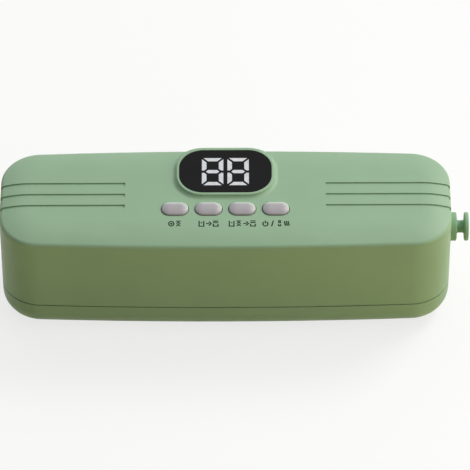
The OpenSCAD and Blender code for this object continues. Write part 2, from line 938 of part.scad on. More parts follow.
// Run of the suction tube: up from the nozzle, round a bend, into the pump
module tube_run(r) {
    z0 = z_bay + nozzle_flange_t;
    z1 = head_z - tube_bend;
    translate([nozzle_x, trough_y, z0])
        cylinder(h = z1 - z0, r = r, $fn = 48);
    translate([nozzle_x + tube_bend, trough_y, z1])
        rotate([90, 0, 0])
            rotate([0, 0, 90])
                rotate_extrude(angle = 90, $fn = 48)
                    translate([tube_bend, 0])
                        circle(r, $fn = 48);
    translate([nozzle_x + tube_bend, trough_y, head_z])
        rotate([0, 90, 0])
            cylinder(h = head_x0 - nozzle_x - tube_bend, r = r, $fn = 48);
}

module suction_tube() {
    color([0.88, 0.90, 0.90])
    difference() {
        tube_run(tube_r + tube_wall);
        tube_run(tube_r);
        translate([nozzle_x, trough_y, z_bay])
            cylinder(h = 2 * nozzle_flange_t, r = tube_r);
        translate([head_x0 - lap, pump_y, head_z])
            rotate([0, 90, 0])
                cylinder(h = 2 * lap, r = tube_r);
    }
}

// One digit of seven segments with mitred ends, thinned by a clearance
module digit(thin) {
    w = digit_w / 2;
    h = digit_h / 2;
    b = segment_b;
    g = segment_gap + thin;
    for (up = [-1, 1]) {
        polygon([[-w + g + thin, up * (h - thin)], [w - g - thin, up * (h - thin)],
            [w - b - g + thin, up * (h - b + thin)], [-w + b + g - thin, up * (h - b + thin)]]);
        for (side = [-1, 1])
            polygon([[side * (w - thin), up * (h - g - thin)],
                [side * (w - b + thin), up * (h - b - g + thin)], [side * (w - b + thin), up * (b / 2 + g)],
                [side * (w - b / 2), up * g], [side * (w - thin), up * (g + thin)]]);
    }
    polygon([[-w + b / 2 + g, 0], [-w + b + g, b / 2 - thin], [w - b - g, b / 2 - thin], [w - b / 2 - g, 0],
        [w - b - g, thin - b / 2], [-w + b + g, thin - b / 2]]);
}

// Both digits from one level to another
module digits(thin, z0, z1) {
    for (side = [-1, 1])
        translate([side * digit_pitch / 2, display_y, z0])
            linear_extrude(z1 - z0)
                digit(thin);
}

module display_window() {
    color(black)
    difference() {
        translate([0, display_y, 0])
            round_plate(lens_w, lens_d, lens_r, z_lens, z_lens_top);
        digits(0, z_lens - lap, z_lens_top + lap);
    }
}

module digit_segments() {
    color(white)
    digits(segment_play, z_lens, z_lens_top);
}

module digit_module() {
    color([0.20, 0.20, 0.21])
    translate([0, display_y, (z_board_top + z_lens) / 2])
        cube([module_w, module_d, z_lens - z_board_top], center = true);
}

module control_board() {
    color(board_green)
    difference() {
        translate([-board_w / 2, board_front, z_board])
            cube([board_w, board_rear - board_front, board_t]);
        for (p = board_holes)
            translate([p[0], p[1], z_board - lap])
                cylinder(h = board_t + 2 * lap, r = board_screw_r + 2 * screw_play);
    }
}

module board_screws() {
    color(steel)
    for (p = board_holes)
        translate([p[0], p[1], z_board])
            screw(board_screw_r, board_t + board_screw_bite, board_screw_head_r, board_screw_head_t);
}

// Copies at the four keys
module at_key(i) {
    translate([(i - 2.5) * key_pitch, key_y, 0])
        children();
}

module switch_bodies() {
    color([0.16, 0.16, 0.17])
    for (i = [1 : 4])
        at_key(i)
            difference() {
                translate([0, 0, (z_board_top + z_switch) / 2])
                    cube([switch_w, switch_w, switch_h], center = true);
                translate([0, 0, z_switch - plunger_in - key_travel - plunger_play])
                    cylinder(h = plunger_in + key_travel + plunger_play + lap, r = plunger_r + plunger_play);
            }
}

module battery_cells() {
    color([0.20, 0.42, 0.62])
    for (side = [-1, 1])
        translate([cell_x0, side * cell_y, cell_z])
            rotate([0, 90, 0])
                cylinder(h = cell_len, r = cell_r);
}

module battery_cradle() {
    room = link_t + fit;
    len = cell_len + 2 * room;
    color([0.24, 0.25, 0.26])
    difference() {
        translate([cell_x0 - room - cradle_wall, -cell_y - cell_r - fit - cradle_wall, z_bay])
            cube([len + 2 * cradle_wall, 2 * (cell_y + cell_r + fit + cradle_wall), cradle_h]);
        for (side = [-1, 1])
            translate([cell_x0 - room, side * cell_y, cell_z])
                rotate([0, 90, 0])
                    cylinder(h = len, r = cell_r + fit);
        translate([cell_x0 - room, -cell_y, z_bay + cradle_h - cradle_notch])
            cube([len, 2 * cell_y, cradle_notch + lap]);
    }
}

module cell_links() {
    tab = link_tab;
    color(steel) {
        translate([cell_x0 - link_t, -cell_y - tab / 2, cell_z - tab / 2])
            cube([link_t, 2 * cell_y + tab, tab]);
        for (side = [-1, 1])
            translate([cell_x1, side * cell_y - tab / 2, cell_z - tab / 2])
                cube([link_t, tab, tab]);
    }
}

module pump_motor() {
    color(steel)
    translate([motor_x0, pump_y, pump_z])
        rotate([0, 90, 0])
            cylinder(h = motor_len, r = motor_r);
}

module pump_head() {
    color([0.17, 0.17, 0.18])
    difference() {
        union() {
            translate([head_x0, pump_y - head_d / 2, head_z - head_d / 2])
                cube([head_len, head_d, head_d]);
            translate([head_x0 - inlet_len, pump_y, head_z])
                rotate([0, 90, 0])
                    cylinder(h = inlet_len + lap, r = tube_r - fit / 3);
        }
        translate([head_x0 - inlet_len - lap, pump_y, head_z])
            rotate([0, 90, 0])
                cylinder(h = inlet_len + inlet_deep, r = nozzle_bore_r);
    }
}

module pump_saddle() {
    w = motor_len - 2 * saddle_end;
    d = 2 * (motor_r + saddle_wall);
    h = saddle_floor + motor_r - saddle_low;
    color([0.24, 0.25, 0.26])
    difference() {
        translate([motor_x0 + saddle_end, pump_y - d / 2, z_bay])
            cube([w, d, h]);
        translate([motor_x0, pump_y, pump_z])
            rotate([0, 90, 0])
                cylinder(h = motor_len, r = motor_r + fit);
    }
}

module charge_board() {
    color(board_green)
    translate([usb_x - charge_w / 2, usb_y1 - charge_d, charge_z])
        cube([charge_w, charge_d - charge_front, charge_t]);
}

module usb_socket() {
    y0 = usb_y1 - usb_len;
    tongue = usb_tongue;
    color(steel) {
        difference() {
            usb_piece(0, y0, usb_y1);
            usb_piece(-usb_shell_t, y0 + usb_back_t, usb_y1 + lap);
        }
        translate([usb_x - tongue[0] / 2, y0 + usb_back_t - lap,
            charge_z + charge_t + (usb_h - tongue[2]) / 2])
            cube([tongue[0], tongue[1] + lap, tongue[2]]);
    }
}

// Half section of the lanyard post, a spool turned about its axis
module post_section() {
    neck_z0 = post_base_t;
    neck_z1 = post_base_t + post_neck_len;
    square([post_r - post_edge_r, post_base_t]);
    translate([0, post_edge_r])
        square([post_r, post_base_t - 2 * post_edge_r]);
    translate([0, neck_z1])
        square([post_r - post_edge_r, post_cap_t]);
    translate([0, neck_z1 + post_edge_r])
        square([post_r, post_cap_t - 2 * post_edge_r]);
    for (z = [post_edge_r, post_base_t - post_edge_r, neck_z1 + post_edge_r, post_len - post_edge_r])
        translate([post_r - post_edge_r, z])
            circle(post_edge_r, $fn = 32);
    translate([0, neck_z0 - lap])
        square([post_neck_r, post_neck_len + 2 * lap]);
    difference() {
        translate([post_neck_r - lap, neck_z0 - lap])
            square([post_blend + lap, post_neck_len + 2 * lap]);
        translate([post_neck_r + post_blend, neck_z0 + post_blend])
            circle(post_blend, $fn = 32);
        translate([post_neck_r + post_blend, neck_z1 - post_blend])
            circle(post_blend, $fn = 32);
        translate([post_neck_r, neck_z0 + post_blend])
            square([post_blend + lap, post_neck_len - 2 * post_blend]);
    }
}

module lanyard_post() {
    color(sage)
    translate([post_wall_x, 0, post_z])
        rotate([0, 90, 0])
            difference() {
                rotate_extrude()
                    post_section();
                translate([0, 0, -lap])
                    cylinder(h = post_bore + lap, r = screw_r + screw_play);
            }
}

module lanyard_screw() {
    color(steel)
    translate([half_w - wall, 0, post_z])
        rotate([0, 90, 0])
            screw(screw_r, wall + post_bore - post_screw_end, screw_head_r, screw_head_t);
}

// Section of a key cap above its flange
module key_section() {
    reach = key_r - lap;
    translate([-reach, z_lip - lap])
        square([reach, z_key_top - key_edge_r - z_lip + lap]);
    translate([-reach, z_lip - lap])
        square([reach - key_edge_r, z_key_top - z_lip + lap]);
    translate([-key_edge_r, z_key_top - key_edge_r])
        circle(key_edge_r, $fn = 32);
}

module key_cap(i) {
    color(key_grey)
    at_key(i) {
        round_sweep(key_w, key_d, key_r)
            key_section();
        round_middle(key_w, key_d, key_r, z_lip - lap, z_key_top);
        round_plate(key_w + 2 * key_lip, key_d + 2 * key_lip, key_r + key_lip, z_lip - key_lip_t, z_lip);
        translate([0, 0, z_stem])
            cylinder(h = z_lip - z_stem - lap, r = stem_r);
    }
}

module plunger(i) {
    color([0.10, 0.10, 0.10])
    at_key(i)
        translate([0, 0, z_switch - plunger_in])
            cylinder(h = switch_rise + plunger_in, r = plunger_r);
}

lower_jaw();
jaw_deck();
trough_tub();
deck_screws();
jaw_gasket();
press_strip();
foot_pad();
jaw_magnets();
hinge_pins();
upper_housing();
chassis_plate();
chassis_screws();
housing_gasket();
heater_bar();
heating_band();
heater_tape();
housing_magnets();
suction_nozzle();
suction_tube();
display_window();
digit_segments();
digit_module();
control_board();
board_screws();
switch_bodies();
battery_cells();
battery_cradle();
cell_links();
pump_motor();
pump_head();
pump_saddle();
charge_board();
usb_socket();
lanyard_post();
lanyard_screw();
key_cap(1);  // key_cap_1
key_cap(2);  // key_cap_2
key_cap(3);  // key_cap_3
key_cap(4);  // key_cap_4
plunger(1);  // plunger_1
plunger(2);  // plunger_2
plunger(3);  // plunger_3
plunger(4);  // plunger_4
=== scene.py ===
# Looks of the mini bag sealer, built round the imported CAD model. Metres, in the model's own frame.
import json
import math

import bmesh
import bpy
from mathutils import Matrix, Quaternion, Vector
from mathutils.bvhtree import BVHTree


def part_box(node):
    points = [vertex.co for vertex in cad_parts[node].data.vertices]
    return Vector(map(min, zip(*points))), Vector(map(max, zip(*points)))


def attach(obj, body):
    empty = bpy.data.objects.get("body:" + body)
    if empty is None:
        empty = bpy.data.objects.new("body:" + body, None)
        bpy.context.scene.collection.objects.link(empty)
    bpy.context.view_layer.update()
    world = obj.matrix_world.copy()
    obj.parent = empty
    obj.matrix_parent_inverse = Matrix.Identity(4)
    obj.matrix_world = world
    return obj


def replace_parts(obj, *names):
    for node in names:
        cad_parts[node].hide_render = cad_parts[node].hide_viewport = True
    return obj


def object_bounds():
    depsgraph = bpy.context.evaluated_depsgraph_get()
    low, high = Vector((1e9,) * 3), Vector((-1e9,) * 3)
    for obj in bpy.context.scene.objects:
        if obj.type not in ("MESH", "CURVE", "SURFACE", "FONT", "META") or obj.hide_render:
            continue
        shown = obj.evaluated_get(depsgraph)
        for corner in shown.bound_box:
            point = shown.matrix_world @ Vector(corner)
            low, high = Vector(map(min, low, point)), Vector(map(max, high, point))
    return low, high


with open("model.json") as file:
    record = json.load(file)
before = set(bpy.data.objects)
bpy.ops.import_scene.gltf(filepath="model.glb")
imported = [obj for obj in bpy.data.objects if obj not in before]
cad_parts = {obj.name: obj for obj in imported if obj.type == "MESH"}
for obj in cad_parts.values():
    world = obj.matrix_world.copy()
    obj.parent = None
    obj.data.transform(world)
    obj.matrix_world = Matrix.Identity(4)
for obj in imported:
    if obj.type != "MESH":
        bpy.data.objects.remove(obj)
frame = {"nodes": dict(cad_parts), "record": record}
cad_low, cad_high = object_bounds()
nodes = frame["nodes"]
MM = 0.001

# Camera: the photograph's frame, its scale at the middle of the body, and where that middle lies in it
FRAME_PX = 470
PX_PER_METRE = 2641
SENSOR_MM = 36
CAMERA_DISTANCE = 1.563
ELEVATION = math.radians(46)
ROLL = math.radians(-0.17)
BODY_MIDDLE = Vector((0, 0, 24.1 * MM))
SHIFT_RIGHT = 3.55 * MM
SHIFT_UP = 1.44 * MM


def make_camera():
    data = bpy.data.cameras.new("camera")
    data.sensor_width = SENSOR_MM
    data.lens = CAMERA_DISTANCE * PX_PER_METRE * SENSOR_MM / FRAME_PX
    camera = bpy.data.objects.new("camera", data)
    bpy.context.scene.collection.objects.link(camera)
    back = Vector((0, -math.cos(ELEVATION), math.sin(ELEVATION)))
    up = Vector((0, math.sin(ELEVATION), math.cos(ELEVATION)))
    target = BODY_MIDDLE + Vector((SHIFT_RIGHT, 0, 0)) + up * SHIFT_UP
    camera.location = target + back * CAMERA_DISTANCE
    camera.rotation_mode = "QUATERNION"
    turn = (-back).to_track_quat("-Z", "Y")
    camera.rotation_quaternion = turn @ Quaternion((0, 0, 1), ROLL)
    bpy.context.scene.camera = camera


make_camera()


# Material helpers
def linear(r, g, b):
    """Linear colour of an 8-bit sRGB one."""
    def channel(v):
        v = v / 255
        return v / 12.92 if v <= 0.04045 else ((v + 0.055) / 1.055) ** 2.4
    return (channel(r), channel(g), channel(b), 1)


def new_material(name):
    material = bpy.data.materials.new(name)
    material.use_nodes = True
    tree = material.node_tree
    return material, tree, tree.nodes["Principled BSDF"]


def noise(tree, size_mm, detail=2.0, stretch=(1, 1, 1)):
    """Noise of a feature size in millimetres, over the part's own coordinates."""
    place = tree.nodes.new("ShaderNodeTexCoord")
    scale = tree.nodes.new("ShaderNodeMapping")
    scale.inputs["Scale"].default_value = stretch
    texture = tree.nodes.new("ShaderNodeTexNoise")
    texture.inputs["Scale"].default_value = 1 / (size_mm * MM)
    texture.inputs["Detail"].default_value = detail
    tree.links.new(place.outputs["Object"], scale.inputs["Vector"])
    tree.links.new(scale.outputs["Vector"], texture.inputs["Vector"])
    return texture.outputs["Fac"]


# Levels between which most of a noise lies
NOISE_LOW = 0.3
NOISE_HIGH = 0.7


def spread(tree, source, low, high):
    """Maps the middle of a noise onto a range."""
    node = tree.nodes.new("ShaderNodeMapRange")
    node.inputs["From Min"].default_value = NOISE_LOW
    node.inputs["From Max"].default_value = NOISE_HIGH
    node.inputs["To Min"].default_value = low
    node.inputs["To Max"].default_value = high
    tree.links.new(source, node.inputs["Value"])
    return node.outputs["Result"]


def two_tone(tree, factor, first, second):
    """Colour between two others, by a factor."""
    node = tree.nodes.new("ShaderNodeMix")
    node.data_type = "RGBA"
    node.inputs["A"].default_value = first
    node.inputs["B"].default_value = second
    tree.links.new(factor, node.inputs["Factor"])
    return node.outputs["Result"]


def shade(colour, factor):
    """Colour made brighter or darker by a factor."""
    return tuple(c * factor for c in colour[:3]) + (1,)


def bump(tree, shader, height, depth_mm):
    """Fine relief of a shader, from a height between 0 and 1."""
    node = tree.nodes.new("ShaderNodeBump")
    node.inputs["Distance"].default_value = depth_mm * MM
    tree.links.new(height, node.inputs["Height"])
    tree.links.new(node.outputs["Normal"], shader.inputs["Normal"])


def moulded(name, colour, rough, grain_mm, grain_deep, vary, specular, drift_mm=14, rough_vary=0.05,
            metal=0.0, stretch=(1, 1, 1)):
    """Moulded or finished surface: slow drift in colour, cloudy gloss and a fine grain."""
    material, tree, shader = new_material(name)
    drift = spread(tree, noise(tree, drift_mm, 3.0), 0, 1)
    tone = two_tone(tree, drift, shade(colour, 1 - vary), shade(colour, 1 + vary))
    tree.links.new(tone, shader.inputs["Base Color"])
    cloud = spread(tree, noise(tree, drift_mm / 4, 4.0, stretch), rough - rough_vary, rough + rough_vary)
    tree.links.new(cloud, shader.inputs["Roughness"])
    bump(tree, shader, noise(tree, grain_mm, 2.0, stretch), grain_deep)
    shader.inputs["Specular IOR Level"].default_value = specular
    shader.inputs["Metallic"].default_value = metal
    return material


# Each has its colour, roughness, size and depth of grain in millimetres, spread of colour and specular level,
# then, where they aren't the usual ones, size of drift in millimetres, spread of roughness, metal and stretch
materials = {
    "sage_plastic": moulded("sage_plastic", linear(151, 183, 153), 0.46, 0.3, 0.003, 0.02, 0.35),
    # Painted shade: a darker, greener copy of the sage plastic for the lanyard post, standing in for the
    # shade on it
    "post_painted_shade": moulded("post_painted_shade", linear(135, 174, 141), 0.46, 0.3, 0.003, 0.02, 0.3),
    "dark_plastic": moulded("dark_plastic", linear(78, 84, 80), 0.55, 0.25, 0.010, 0.06, 0.4, 6),
    "key_plastic": moulded("key_plastic", linear(173, 168, 175), 0.38, 0.25, 0.002, 0.02, 0.5, 5),
    "black_plastic": moulded("black_plastic", linear(38, 38, 40), 0.5, 0.3, 0.008, 0.08, 0.4, 5),
    "white_plastic": moulded("white_plastic", linear(232, 234, 233), 0.4, 0.3, 0.003, 0.02, 0.5, 5),
    "steel": moulded("steel", linear(196, 198, 201), 0.3, 0.2, 0.002, 0.05, 0.5, 3, 0.08, 1.0, (1, 6, 6)),
    "magnet": moulded("magnet", linear(208, 208, 212), 0.2, 0.5, 0.001, 0.04, 0.5, 3, 0.06, 1.0),
    "motor_can": moulded("motor_can", linear(186, 187, 190), 0.32, 0.3, 0.002, 0.05, 0.5, 5, 0.08, 1.0,
                         (8, 1, 1)),
    "pale_silicone": moulded("pale_silicone", linear(222, 226, 223), 0.52, 0.4, 0.004, 0.03, 0.4, 8),
    "red_silicone": moulded("red_silicone", linear(176, 74, 58), 0.56, 0.35, 0.006, 0.06, 0.4, 8),
    "pad_rubber": moulded("pad_rubber", linear(46, 47, 46), 0.7, 0.3, 0.015, 0.10, 0.3, 4),
    "heater_laminate": moulded("heater_laminate", linear(205, 190, 150), 0.5, 0.6, 0.006, 0.08, 0.4, 4, 0.06,
                               0.0, (0.15, 1, 1)),
    "circuit_board": moulded("circuit_board", linear(24, 92, 58), 0.35, 0.5, 0.004, 0.12, 0.5, 2),
    "cell_sleeve": moulded("cell_sleeve", linear(60, 112, 160), 0.3, 0.8, 0.003, 0.04, 0.5, 9),
    "sign_ink": moulded("sign_ink", linear(16, 32, 22), 0.6, 0.2, 0.001, 0.05, 0.2, 2),
}


def black_window():
    """Smoked window with a faint haze."""
    material, tree, shader = new_material("black_window")
    haze = spread(tree, noise(tree, 7, 3.0), 0, 1)
    tone = two_tone(tree, haze, linear(12, 12, 12), linear(16, 16, 17))
    tree.links.new(tone, shader.inputs["Base Color"])
    gloss = spread(tree, noise(tree, 3, 4.0), 0.12, 0.2)
    tree.links.new(gloss, shader.inputs["Roughness"])
    shader.inputs["Specular IOR Level"].default_value = 0.13
    return material


def lit_segments():
    """Lit diffuser of the digits, a little uneven over each segment."""
    material, tree, shader = new_material("lit_segments")
    uneven = spread(tree, noise(tree, 1.2, 2.0), 0, 1)
    tone = two_tone(tree, uneven, linear(205, 208, 212), linear(226, 228, 232))
    tree.links.new(tone, shader.inputs["Emission Color"])
    shader.inputs["Emission Strength"].default_value = 0.85
    shader.inputs["Base Color"].default_value = linear(60, 60, 62)
    shader.inputs["Roughness"].default_value = 0.4
    shader.inputs["Specular IOR Level"].default_value = 0.2
    return material


THREAD_PITCH = 1.6 * MM


def cover_tape():
    """Coated glass cloth: a plain weave under a brown film."""
    material, tree, shader = new_material("cover_tape")
    place = tree.nodes.new("ShaderNodeTexCoord")
    threads = []
    for direction in ("X", "Y"):
        wave = tree.nodes.new("ShaderNodeTexWave")
        wave.bands_direction = direction
        wave.inputs["Scale"].default_value = 1 / THREAD_PITCH
        tree.links.new(place.outputs["Object"], wave.inputs["Vector"])
        threads.append(wave.outputs["Fac"])
    weave = tree.nodes.new("ShaderNodeMath")
    weave.operation = "MULTIPLY"
    tree.links.new(threads[0], weave.inputs[0])
    tree.links.new(threads[1], weave.inputs[1])
    tone = two_tone(tree, weave.outputs["Value"], linear(128, 86, 52), linear(166, 118, 76))
    tree.links.new(tone, shader.inputs["Base Color"])
    bump(tree, shader, weave.outputs["Value"], 0.02)
    shader.inputs["Roughness"].default_value = 0.36
    return material


# Painted highlight: paler rear and right edges of the keys, lighter where the light falls on them, in shares
# of half their depth and by the way they face
KEY_PAINTED_HIGHLIGHT = linear(226, 242, 228)
KEY_HIGHLIGHT_FROM = 0.4
KEY_HIGHLIGHT_TO = 0.85
KEY_LIT_SIDE = (0.6, 0.8, 0)
KEY_FACING_FROM = 0.1
KEY_FACING_TO = 0.7


# Paints a highlight into the key plastic's colour, towards the rear of each key and on edges that face the
# lit side
def paint_key_highlights():
    low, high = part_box("key_cap_1")
    half = (high.y - low.y) / 2
    middle = low.y + half
    tree = materials["key_plastic"].node_tree
    place = tree.nodes.new("ShaderNodeTexCoord")
    parts = tree.nodes.new("ShaderNodeSeparateXYZ")
    tree.links.new(place.outputs["Object"], parts.inputs["Vector"])
    rear = tree.nodes.new("ShaderNodeMapRange")
    rear.inputs["From Min"].default_value = middle + KEY_HIGHLIGHT_FROM * half
    rear.inputs["From Max"].default_value = middle + KEY_HIGHLIGHT_TO * half
    tree.links.new(parts.outputs["Y"], rear.inputs["Value"])
    side = tree.nodes.new("ShaderNodeVectorMath")
    side.operation = "DOT_PRODUCT"
    side.inputs[1].default_value = KEY_LIT_SIDE
    tree.links.new(place.outputs["Normal"], side.inputs[0])
    right = tree.nodes.new("ShaderNodeMapRange")
    right.inputs["From Min"].default_value = KEY_FACING_FROM
    right.inputs["From Max"].default_value = KEY_FACING_TO
    tree.links.new(side.outputs["Value"], right.inputs["Value"])
    edge = tree.nodes.new("ShaderNodeMath")
    edge.operation = "MAXIMUM"
    tree.links.new(rear.outputs["Result"], edge.inputs[0])
    tree.links.new(right.outputs["Result"], edge.inputs[1])
    colour = tree.nodes["Principled BSDF"].inputs["Base Color"]
    face = colour.links[0].from_socket
    # Painted highlight mixed over the face colour
    tone = two_tone(tree, edge.outputs["Value"], KEY_PAINTED_HIGHLIGHT, KEY_PAINTED_HIGHLIGHT)
    tree.links.new(face, tone.node.inputs["A"])
    tree.links.new(tone, colour)


paint_key_highlights()
materials["black_window"] = black_window()
materials["lit_segments"] = lit_segments()
materials["cover_tape"] = cover_tape()

for row in frame["record"]["subparts"]:
    mesh = nodes[row["node"]].data
    mesh.materials.clear()
    mesh.materials.append(materials[row["material_slot"]])
# The lanyard post takes the darker copy of the sage plastic, as painted shade
nodes["lanyard_post"].data.materials[0] = materials["post_painted_shade"]


# Mesh helpers
SHARP_ANGLE = math.radians(35)
CORNER_STEPS = 14


def add_piece(name, mesh, slot, body, material=None):
    """Object from a mesh, with a material and the body that it rides on."""
    piece = bpy.data.objects.new(name, mesh)
    bpy.context.scene.collection.objects.link(piece)
    mesh.materials.clear()
    mesh.materials.append(materials[material or slot])
    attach(piece, body)
    return piece


def make_piece(name, builder, slot, body, material=None):
    """Such an object from a bmesh, with smooth faces between its sharp edges."""
    mesh = bpy.data.meshes.new(name)
    bmesh.ops.recalc_face_normals(builder, faces=builder.faces)
    builder.to_mesh(mesh)
    builder.free()
    mesh.shade_smooth()
    mesh.set_sharp_from_angle(angle=SHARP_ANGLE)
    return add_piece(name, mesh, slot, body, material)


def round_path(w, d, r):
    """Points and outward normals round a rectangle with round corners, about the origin."""
    path = []
    for corner, (sx, sy) in enumerate(((1, 1), (-1, 1), (-1, -1), (1, -1))):
        centre = Vector((sx * (w / 2 - r), sy * (d / 2 - r)))
        for i in range(CORNER_STEPS + 1):
            a = math.pi / 2 * (corner + i / CORNER_STEPS)
            normal = Vector((math.cos(a), math.sin(a)))
            path.append((centre + normal * r, normal))
    return path


def ring_verts(builder, w, d, r, x, y, z):
    return [builder.verts.new((x + p.x, y + p.y, z)) for p, _ in round_path(w, d, r)]


def bridge(builder, first, second):
    """Faces between two loops of points."""
    count = len(first)
    for i in range(count):
        j = (i + 1) % count
        builder.faces.new((first[i], first[j], second[j], second[i]))


def loft(builder, rings, x, y):
    """Closed body through round rectangles, each (width, depth, radius, level)."""
    loops = [ring_verts(builder, w, d, r, x, y, z) for w, d, r, z in rings]
    for first, second in zip(loops, loops[1:]):
        bridge(builder, first, second)
    builder.faces.new(loops[0])
    builder.faces.new(loops[-1])


def sweep(builder, w, d, r, section, x, y):
    """Closed ring: a section of (outward, level) points run round a rectangle with round corners."""
    path = round_path(w, d, r)
    loops = []
    for out, z in section:
        loops.append([builder.verts.new((x + p.x + n.x * out, y + p.y + n.y * out, z)) for p, n in path])
    for i in range(len(loops)):
        bridge(builder, loops[i], loops[(i + 1) % len(loops)])


# Upper housing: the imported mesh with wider, shallower grooves, and with more facets where the soft top
# edge runs along the bowed sides. In a section of that edge, a tight nose arc runs into a wide crown arc.
BOW_R = 1662 * MM
HALF_W = 84.5 * MM
HALF_D = 25.7 * MM
CORNER_R = 15 * MM
EDGE_REACH = 11.22 * MM
NOSE_R = 1.7 * MM
CROWN_R = 35.7 * MM
TOP_Z = 47.6 * MM
EDGE_DROP = CROWN_R - math.sqrt((CROWN_R - NOSE_R) ** 2 - (EDGE_REACH - NOSE_R) ** 2)
NOSE_CENTRE = Vector((-NOSE_R, TOP_Z - EDGE_DROP))
CROWN_CENTRE = Vector((-EDGE_REACH, TOP_Z - CROWN_R))
BLEND_ANGLE = math.atan2(CROWN_R - EDGE_DROP, EDGE_REACH - NOSE_R)
BOW_ANGLE = math.asin((HALF_W - CORNER_R) / (BOW_R - CORNER_R))
# How close a point counts as on a surface, how far off a facet may lie, and how close points are one
ON_SKIN = 0.004 * MM
FACET_OFF = 0.02 * MM
SAME_PLACE = 0.0001 * MM
FACET_ROUNDS = 7
# Grooves as packed, and by how much they become wider and shallower
GROOVE_IN = 37.6 * MM
GROOVE_FRONTS = (-5.45 * MM, 0.3 * MM, 6.05 * MM)
GROOVE_B = 0.7 * MM
GROOVE_DEEP = 0.7 * MM
GROOVE_WIDER = 1.1 * MM
GROOVE_RAISED = 0.2 * MM


def under_skin(section):
    """Outward direction and depth of a point in a section through the top and a side, which is at 0."""
    crown = section - CROWN_CENTRE
    nose = section - NOSE_CENTRE
    angle = math.atan2(crown.y, crown.x)
    if angle > math.pi / 2:
        return Vector((0, 1)), TOP_Z - section.y
    if angle > BLEND_ANGLE:
        return crown.normalized(), CROWN_R - crown.length
    if nose.y > 0:
        return nose.normalized(), NOSE_R - nose.length
    return Vector((1, 0)), -section.x


def on_long_side(point):
    """Place on the skin of a long side that is nearest to a point, or nothing beyond the bowed run."""
    axis_y = math.copysign(BOW_R - HALF_D, -point.y)
    ray = Vector((point.x, point.y - axis_y))
    if abs(math.atan2(ray.x, abs(ray.y))) > BOW_ANGLE:
        return None
    section = Vector((ray.length - BOW_R, point.z))
    out, depth = under_skin(section)
    section += out * depth
    ray = ray.normalized() * (BOW_R + section.x)
    return Vector((ray.x, axis_y + ray.y, section.y))


def reshape_groove(vert):
    """Moves a point of a groove: the floor up a little and the front wall forward."""
    front = any(abs(vert.co.y - y) < ON_SKIN for y in GROOVE_FRONTS)
    rear = any(abs(vert.co.y - y - GROOVE_B) < ON_SKIN for y in GROOVE_FRONTS)
    if abs(vert.co.x) < GROOVE_IN - ON_SKIN or not (front or rear):
        return
    out, depth = under_skin(Vector((abs(vert.co.x) + cad_low[0], vert.co.z)))
    if abs(depth - GROOVE_DEEP) < ON_SKIN:
        vert.co.x += math.copysign(out.x, vert.co.x) * GROOVE_RAISED
        vert.co.z += out.y * GROOVE_RAISED
    if front:
        vert.co.y -= GROOVE_WIDER


def refine_long_sides(builder):
    """Splits edges on the skin of the long sides until no facet lies far off it."""
    skin = set()
    for vert in builder.verts:
        place = on_long_side(vert.co)
        if place and (place - vert.co).length < ON_SKIN:
            skin.add(vert)
    for _ in range(FACET_ROUNDS):
        coarse = []
        for edge in builder.edges:
            if not all(skin.issuperset(face.verts) for face in edge.link_faces):
                continue
            middle = (edge.verts[0].co + edge.verts[1].co) / 2
            place = on_long_side(middle)
            if place and (place - middle).length > FACET_OFF:
                coarse.append(edge)
        if not coarse:
            break
        made = bmesh.ops.subdivide_edges(builder, edges=coarse, cuts=1, use_grid_fill=True)
        for vert in made["geom_inner"]:
            if isinstance(vert, bmesh.types.BMVert):
                vert.co = on_long_side(vert.co)
                skin.add(vert)
        bmesh.ops.triangulate(builder, faces=[f for f in builder.faces if len(f.verts) > 3])


def fine_housing():
    """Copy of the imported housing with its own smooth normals, changed in its grooves and facets."""
    mesh = nodes["upper_housing"].data.copy()
    normals = [0.0] * (3 * len(mesh.loops))
    mesh.corner_normals.foreach_get("vector", normals)
    mesh.attributes.new("skin_normal", "FLOAT_VECTOR", "CORNER").data.foreach_set("vector", normals)
    builder = bmesh.new()
    builder.from_mesh(mesh)
    bmesh.ops.remove_doubles(builder, verts=builder.verts, dist=SAME_PLACE)
    for vert in builder.verts:
        reshape_groove(vert)
    refine_long_sides(builder)
    builder.to_mesh(mesh)
    builder.free()
    kept = mesh.attributes["skin_normal"]
    normals = [kept.data[i].vector.normalized() for i in range(len(mesh.loops))]
    mesh.attributes.remove(kept)
    mesh.normals_split_custom_set(normals)
    piece = add_piece("upper_housing_fine", mesh, "sage_plastic", "housing")
    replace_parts(piece, "upper_housing")
    return piece


housing = fine_housing()


# Gaskets: a flat root in its groove and a rounded lip that meets the other one
GASKET_B = 2.7 * MM
GASKET_R = 7.85 * MM
GASKET_ROOT = 1.1 * MM
LIP_STEPS = 12


def gasket(node, body, lip_up):
    low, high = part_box(node)
    root, lip = (low.z, high.z) if lip_up else (high.z, low.z)
    side = 1 if lip_up else -1
    half = GASKET_B / 2
    shoulder = root + side * GASKET_ROOT
    section = [(-half, root), (half, root)]
    for i in range(LIP_STEPS + 1):
        a = math.pi * i / LIP_STEPS
        section.append((half * math.cos(a), shoulder + (lip - shoulder) * math.sin(a)))
    builder = bmesh.new()
    middle = (low + high) / 2
    size = high - low
    sweep(builder, size.x - GASKET_B, size.y - GASKET_B, GASKET_R - half, section, middle.x, middle.y)
    piece = make_piece(node + "_lip", builder, "pale_silicone", body)
    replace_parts(piece, node)


gasket("jaw_gasket", "jaw", True)
gasket("housing_gasket", "housing", False)


# Press strip: a silicone bar with rounded long edges and a flat crown
STRIP_EDGE = 0.9 * MM
STRIP_RISE = 0.6 * MM
STRIP_CORNER = 1.2 * MM
STRIP_STEPS = 8


